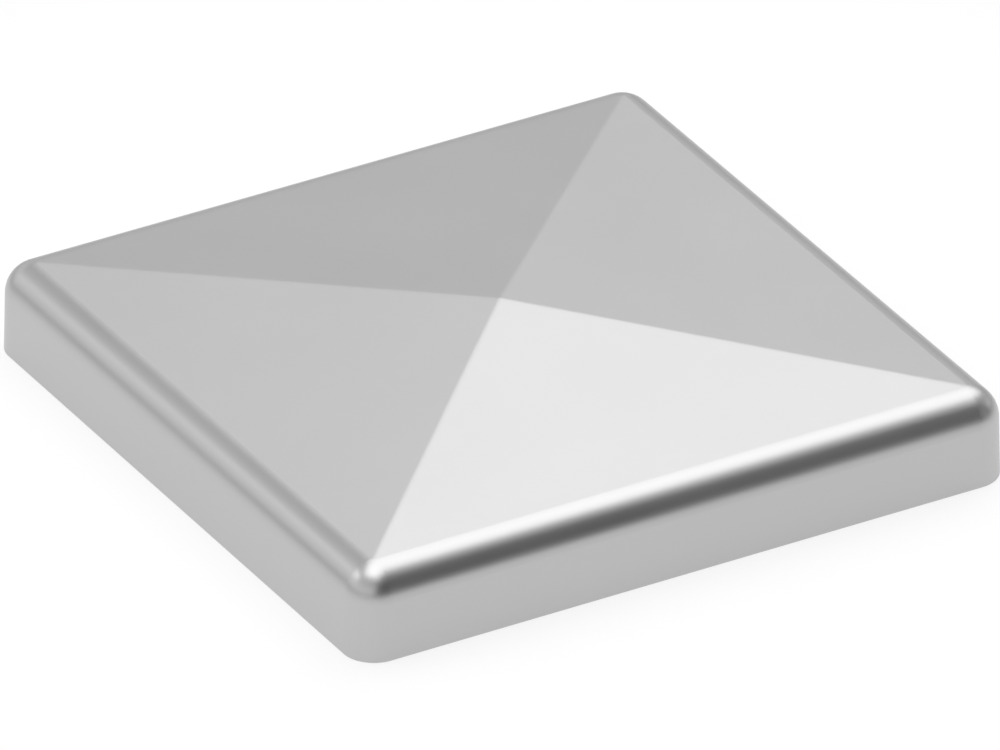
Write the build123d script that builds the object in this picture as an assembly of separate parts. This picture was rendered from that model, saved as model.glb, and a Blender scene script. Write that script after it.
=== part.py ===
from build123d import *
import math
import os

# Square aluminium post cap: a low skirt and a shallow four-sided roof, cast in one piece with one wall
# thickness all over and open below. The origin is the centre of the open mouth, on the rim's plane, and +Z
# runs up through the roof's point.

# Driving dimensions, in millimetres and degrees
post_width = 100.0        # square post that the cap slides over
post_clearance = 0.5      # between the post and each inside wall, at the mouth
wall = 3.0                # skirt and roof alike
overall_height = 18.5     # rim to the rounded point of the roof
roof_slope = 5.0          # each roof face above the horizontal
wall_draft = 1.0          # each skirt wall leans in by this towards the roof
edge_radius = 5.0         # every outer edge: eaves, corners, ridges and point
least_inner_radius = 0.5  # smallest radius left inside where the wall is as thick as the edge radius
rim_break = 0.3           # radius that takes the sharpness off both edges of the rim

# Sizes that follow from them
outer_width = post_width + 2 * (post_clearance + wall)
inner_radius = max(edge_radius - wall, least_inner_radius)
skirt_below = 2 * edge_radius  # the rounded forms reach this far under the rim, and are cut off there


def gable_prism(depth):
    """Straight prism along Y with the cap's section, all its faces lying depth inside the outer faces."""
    draft = math.tan(math.radians(wall_draft))
    slope = math.tan(math.radians(roof_slope))
    half_at_rim = outer_width / 2 - depth / math.cos(math.radians(wall_draft))
    sharp_point = overall_height + edge_radius * (1 / math.cos(math.radians(roof_slope)) - 1)
    point_z = sharp_point - depth / math.cos(math.radians(roof_slope))
    eave_z = (point_z - slope * half_at_rim) / (1 - slope * draft)
    eave_x = half_at_rim - draft * eave_z
    foot_x = half_at_rim + draft * skirt_below
    outline = Polyline(
        (-foot_x, -skirt_below),
        (-eave_x, eave_z),
        (0, point_z),
        (eave_x, eave_z),
        (foot_x, -skirt_below),
        close=True,
    )
    return extrude(Plane.XZ * make_face(outline), amount=outer_width, both=True)


def rounded_form(inset, radius):
    """Solid cap form, inset from the outer faces, with every edge and corner rolled to one radius.

    Two crossed prisms leave the sharp four-sided form one radius further in. A ball rolled over that form
    gives flat faces, cylinders along the edges and a sphere at each corner and at the point.
    """
    prism = gable_prism(inset + radius)
    core = prism & (Rot(0, 0, 90) * prism)
    return offset(core, amount=radius, kind=Kind.ARC)


def post_cap():
    """The cap: outer form less the inside form, cut off at the rim's plane."""
    body = rounded_form(0, edge_radius) - rounded_form(wall, inner_radius)
    body = split(body, bisect_by=Plane.XY, keep=Keep.TOP)
    rim_edges = body.edges().group_by(Axis.Z)[0]
    return fillet(rim_edges, rim_break)


def main():
    os.makedirs("parts", exist_ok=True)
    cap = post_cap()
    cap.label = "post_cap"
    export_step(cap, "parts/post_cap.step")


main()
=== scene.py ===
import math

import bpy
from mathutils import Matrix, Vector


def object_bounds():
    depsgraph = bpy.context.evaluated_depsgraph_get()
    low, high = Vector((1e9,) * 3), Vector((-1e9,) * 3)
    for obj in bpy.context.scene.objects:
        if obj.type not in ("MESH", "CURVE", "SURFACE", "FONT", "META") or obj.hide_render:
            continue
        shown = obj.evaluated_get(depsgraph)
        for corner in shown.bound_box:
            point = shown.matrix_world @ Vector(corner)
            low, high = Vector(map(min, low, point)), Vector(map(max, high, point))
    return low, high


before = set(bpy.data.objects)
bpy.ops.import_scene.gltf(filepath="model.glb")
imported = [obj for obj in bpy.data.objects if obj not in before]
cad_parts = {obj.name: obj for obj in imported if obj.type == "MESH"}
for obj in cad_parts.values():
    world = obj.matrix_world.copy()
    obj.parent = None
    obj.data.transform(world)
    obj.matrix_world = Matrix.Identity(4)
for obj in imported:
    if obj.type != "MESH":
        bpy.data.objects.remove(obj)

CAD_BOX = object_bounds()
WHITE = (1.0, 1.0, 1.0, 1.0)

# Camera: the photograph is an almost parallel view, so a very long lens stands far off
VIEW_AZIMUTH = -30.0        # degrees; 0 looks along +Y
VIEW_ELEVATION = 30.0       # degrees above the floor
LENS = 1000.0               # mm, on the default 36 mm sensor
VIEW_DISTANCE = 3.973       # m
AIM_UP = 0.00504            # m up the picture from the centre of the mouth
CLIP_NEAR = 0.1             # m
CLIP_FAR = 20.0             # m

# Metal
METAL_COLOUR_LOW = (0.52, 0.52, 0.52, 1.0)
METAL_COLOUR = (0.53, 0.53, 0.53, 1.0)
OUTSIDE_ROUGHNESS = (0.37, 0.39)
INSIDE_ROUGHNESS = (0.46, 0.52)
CLOUD = dict(scale=45.0, detail=2.0)     # slow change of the tint, and of the gloss outside
GRAIN = dict(scale=5200.0, detail=2.0)   # fine grain outside
SKIN = dict(scale=900.0, detail=4.0)     # coarser skin inside
NOISE_LOW = 0.3             # noise down here gives the first roughness of a pair
NOISE_HIGH = 0.7            # and up here the second
BUMP_STRENGTH = 0.25
BUMP_HEIGHT = 0.00002       # m

# Where the outside ends and the inside begins
ROOF_SLOPE = math.radians(5.0)
WALL = 0.003                # m, thickness of the wall all over
INSIDE_FROM = 0.85 * WALL   # m below the outer faces
INSIDE_BLEND = 0.1 * WALL   # m further in, over which the change is made

# Studio: a pale tent with two dark sides, a long box overhead, a small one behind and a dim one low down
TENT_HORIZON = 0.12         # radiance of the tent at floor level
TENT_SIDES = 1.13           # where it is brightest
TENT_TOP = 0.52             # and overhead
BRIGHTEST_HEIGHT = 0.27     # sine of the elevation where the tent is brightest
TOP_HEIGHT = 0.72           # sine of the elevation from which the top begins
DARK_SIDES = (
    # where the middle is, the share of the tent's light that is missing there, and how far that reaches
    dict(azimuth=-67.0, elevation=6.0, share=0.95, full_within=40.0, nothing_beyond=60.0),
    dict(azimuth=38.0, elevation=48.5, share=0.54, full_within=31.0, nothing_beyond=45.0),
)
TOP_BOX = dict(azimuth=38.5, elevation=74.0, half_width=24.3, half_height=42.0, radiance=1.82)
BACK_BOX = dict(azimuth=144.0, elevation=39.0, half_width=13.5, half_height=5.0, radiance=2.3)
DIM_BOX = dict(azimuth=-43.0, elevation=19.0, half_width=7.0, half_height=14.0, radiance=0.5)
LAMP_DISTANCE = 6.0         # m

# Floor: a painted pool of light, white around the cap, with pale grey shade painted further off
FLOOR_COLOUR = 0.22
FLOOR_GLOW = 0.785          # what camera and reflections see on top of the lit colour, for white
FLOOR_FAR_PAINTED_SHADE = 0.75            # share of both that is left further off: the painted shade on the floor
FLOOR_PAINTED_POOL_WITHIN = 0.10   # m from the middle, within which the painted pool of light is full white; the photograph shows little beyond
FLOOR_PAINTED_SHADE_BEYOND = 0.30     # m from the middle, beyond which the painted shade is full
FLOOR_RADIUS = 12.0         # m
FLOOR_CORNERS = 96


def direction(azimuth, elevation):
    """Unit vector at an azimuth from +X, anticlockwise, and an elevation, in degrees."""
    a, e = math.radians(azimuth), math.radians(elevation)
    return Vector((math.cos(a) * math.cos(e), math.sin(a) * math.cos(e), math.sin(e)))


def make_camera():
    """The photograph's camera, upright and aimed a little above the centre of the mouth."""
    data = bpy.data.cameras.new("camera")
    data.lens = LENS
    data.clip_start = CLIP_NEAR
    data.clip_end = CLIP_FAR
    camera = bpy.data.objects.new("camera", data)
    bpy.context.scene.collection.objects.link(camera)
    back = direction(VIEW_AZIMUTH - 90.0, VIEW_ELEVATION)
    right = Vector((0, 0, 1)).cross(back).normalized()
    up = back.cross(right)
    camera.location = back * VIEW_DISTANCE + up * AIM_UP
    camera.rotation_mode = "QUATERNION"
    camera.rotation_quaternion = back.to_track_quat("Z", "Y")
    bpy.context.scene.camera = camera


def node(tree, kind, **settings):
    """A shader node with some of its properties set."""
    made = tree.nodes.new(kind)
    for name, value in settings.items():
        setattr(made, name, value)
    return made


def math_node(tree, operation, first, second=None):
    """The result of a Math node; each input is a socket or a number."""
    made = node(tree, "ShaderNodeMath", operation=operation)
    for socket, value in zip(made.inputs, (first, second)):
        if value is None:
            continue
        if isinstance(value, (int, float)):
            socket.default_value = value
        else:
            tree.links.new(value, socket)
    return made.outputs[0]


def map_range(tree, value, low, high, to_low, to_high, smooth=False):
    """The value, taken from one range to another and held at its ends."""
    made = node(tree, "ShaderNodeMapRange", interpolation_type="SMOOTHSTEP" if smooth else "LINEAR")
    tree.links.new(value, made.inputs["Value"])
    made.inputs["From Min"].default_value = low
    made.inputs["From Max"].default_value = high
    made.inputs["To Min"].default_value = to_low
    made.inputs["To Max"].default_value = to_high
    return made.outputs["Result"]


def noise(tree, coordinates, scale, detail):
    """Noise from 0 to 1; the scale is in ripples a metre."""
    made = node(tree, "ShaderNodeTexNoise")
    tree.links.new(coordinates, made.inputs["Vector"])
    made.inputs["Scale"].default_value = scale
    made.inputs["Detail"].default_value = detail
    return made.outputs["Fac"]


def mix(tree, kind, factor, first, second):
    """A mix of two numbers (FLOAT) or colours (RGBA); each is a socket or a constant."""
    made = node(tree, "ShaderNodeMix", data_type=kind)
    tree.links.new(factor, made.inputs["Factor"])
    for name, value in (("A", first), ("B", second)):
        if isinstance(value, bpy.types.NodeSocket):
            tree.links.new(value, made.inputs[name])
        else:
            made.inputs[name].default_value = value
    return made.outputs["Result"]


def inside_mask(tree, coordinates):
    """1 on the faces inside the cap and 0 on the outer faces and the rim."""
    lo, hi = CAD_BOX
    split = node(tree, "ShaderNodeSeparateXYZ")
    tree.links.new(coordinates, split.inputs[0])
    across = math_node(
        tree,
        "MAXIMUM",
        math_node(tree, "ABSOLUTE", split.outputs[0]),
        math_node(tree, "ABSOLUTE", split.outputs[1]),
    )
    to_side = math_node(tree, "SUBTRACT", (hi.x - lo.x) / 2 - INSIDE_FROM, across)
    fall = math_node(tree, "MULTIPLY", across, math.tan(ROOF_SLOPE))
    roof = math_node(tree, "SUBTRACT", hi.z - INSIDE_FROM, fall)
    to_roof = math_node(tree, "SUBTRACT", roof, split.outputs[2])
    depth = math_node(tree, "MINIMUM", to_side, to_roof)
    return map_range(tree, depth, 0.0, INSIDE_BLEND, 0.0, 1.0, smooth=True)


def satin_aluminium():
    """Fine satin metal outside, and the duller skin of the casting inside."""
    material = bpy.data.materials.new("satin_aluminium")
    material.use_nodes = True
    tree = material.node_tree
    shader = tree.nodes["Principled BSDF"]
    shader.inputs["Metallic"].default_value = 1.0
    place = node(tree, "ShaderNodeTexCoord").outputs["Object"]
    inside = inside_mask(tree, place)

    cloud = noise(tree, place, **CLOUD)
    tint = mix(tree, "RGBA", cloud, METAL_COLOUR_LOW, METAL_COLOUR)
    tree.links.new(tint, shader.inputs["Base Color"])

    grain = noise(tree, place, **GRAIN)
    skin = noise(tree, place, **SKIN)
    outside_rough = map_range(tree, cloud, NOISE_LOW, NOISE_HIGH, *OUTSIDE_ROUGHNESS)
    inside_rough = map_range(tree, skin, NOISE_LOW, NOISE_HIGH, *INSIDE_ROUGHNESS)
    tree.links.new(mix(tree, "FLOAT", inside, outside_rough, inside_rough), shader.inputs["Roughness"])

    bump = node(tree, "ShaderNodeBump")
    bump.inputs["Strength"].default_value = BUMP_STRENGTH
    bump.inputs["Distance"].default_value = BUMP_HEIGHT
    tree.links.new(mix(tree, "FLOAT", inside, grain, skin), bump.inputs["Height"])
    tree.links.new(bump.outputs["Normal"], shader.inputs["Normal"])
    return material


def finish_cap():
    """The CAD solid as it is, with the metal in its one slot."""
    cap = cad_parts["post_cap"]
    cap.material_slots[0].material = satin_aluminium()


def soft_box(name, azimuth, elevation, half_width, half_height, radiance):
    """Rectangular lamp that faces the origin and spans these half angles, in degrees, seen from there."""
    width = 2 * LAMP_DISTANCE * math.tan(math.radians(half_width))
    height = 2 * LAMP_DISTANCE * math.tan(math.radians(half_height))
    data = bpy.data.lights.new(name, "AREA")
    data.shape = "RECTANGLE"
    data.size = width
    data.size_y = height
    data.energy = radiance * math.pi * width * height
    lamp = bpy.data.objects.new(name, data)
    bpy.context.scene.collection.objects.link(lamp)
    towards = direction(azimuth, elevation)
    lamp.location = towards * LAMP_DISTANCE
    lamp.rotation_mode = "QUATERNION"
    lamp.rotation_quaternion = towards.to_track_quat("Z", "Y")
    lamp.visible_camera = False


def darken(tree, level, towards, azimuth, elevation, share, full_within, nothing_beyond):
    """The level, less a share of it around one direction; all angles in degrees."""
    dot = node(tree, "ShaderNodeVectorMath", operation="DOT_PRODUCT")
    tree.links.new(towards, dot.inputs[0])
    dot.inputs[1].default_value = direction(azimuth, elevation)
    angle = math_node(tree, "ARCCOSINE", dot.outputs["Value"])
    reach = math.radians(full_within), math.radians(nothing_beyond)
    kept = map_range(tree, angle, *reach, 1.0 - share, 1.0, smooth=True)
    return math_node(tree, "MULTIPLY", level, kept)


def make_tent():
    """The world: a pale tent with dark sides, darker at floor level and overhead, and mirrored below it."""
    world = bpy.data.worlds.new("tent")
    bpy.context.scene.world = world
    world.use_nodes = True
    tree = world.node_tree
    background = tree.nodes["Background"]
    towards = node(tree, "ShaderNodeTexCoord").outputs["Generated"]
    split = node(tree, "ShaderNodeSeparateXYZ")
    tree.links.new(towards, split.inputs[0])
    height = math_node(tree, "ABSOLUTE", split.outputs[2])
    level = math_node(
        tree,
        "ADD",
        map_range(tree, height, 0.0, BRIGHTEST_HEIGHT, TENT_HORIZON, TENT_SIDES),
        map_range(tree, height, BRIGHTEST_HEIGHT, TOP_HEIGHT, 0.0, TENT_TOP - TENT_SIDES),
    )
    for side in DARK_SIDES:
        level = darken(tree, level, towards, **side)
    tree.links.new(level, background.inputs["Strength"])
    background.inputs["Color"].default_value = WHITE


def make_floor():
    """White around the cap, as the photograph's background is, and a pale grey further off: a pool of light
    and its falloff painted into the floor.
    """
    bpy.ops.mesh.primitive_circle_add(
        vertices=FLOOR_CORNERS, radius=FLOOR_RADIUS, fill_type="NGON", location=(0, 0, 0)
    )
    floor = bpy.context.object
    floor.name = "floor"
    material = bpy.data.materials.new("floor_white_painted_pool")
    material.use_nodes = True
    tree = material.node_tree
    shader = tree.nodes["Principled BSDF"]
    shader.inputs["Roughness"].default_value = 1.0
    shader.inputs["Specular IOR Level"].default_value = 0.0
    shader.inputs["Emission Color"].default_value = WHITE
    from_middle = node(tree, "ShaderNodeVectorMath", operation="LENGTH")
    tree.links.new(node(tree, "ShaderNodeTexCoord").outputs["Object"], from_middle.inputs[0])
    # painted pool of light: the floor's colour and glow are painted down to a pale grey further from the
    # middle
    share = map_range(
        tree, from_middle.outputs["Value"], FLOOR_PAINTED_POOL_WITHIN, FLOOR_PAINTED_SHADE_BEYOND, 1.0, FLOOR_FAR_PAINTED_SHADE, smooth=True
    )
    tree.links.new(math_node(tree, "MULTIPLY", share, FLOOR_COLOUR), shader.inputs["Base Color"])
    path = node(tree, "ShaderNodeLightPath")
    seen = math_node(tree, "MAXIMUM", path.outputs["Is Camera Ray"], path.outputs["Is Glossy Ray"])
    seen = math_node(tree, "MAXIMUM", seen, path.outputs["Is Transmission Ray"])
    glow = math_node(tree, "MULTIPLY", math_node(tree, "MULTIPLY", share, FLOOR_GLOW), seen)
    tree.links.new(glow, shader.inputs["Emission Strength"])
    floor.data.materials.append(material)


def make_studio():
    """Floor, tent and lamps."""
    make_floor()
    make_tent()
    soft_box("top_box", **TOP_BOX)
    soft_box("back_box", **BACK_BOX)
    soft_box("dim_box", **DIM_BOX)
    bpy.context.scene.view_settings.view_transform = "Standard"


make_camera()
finish_cap()
make_studio()
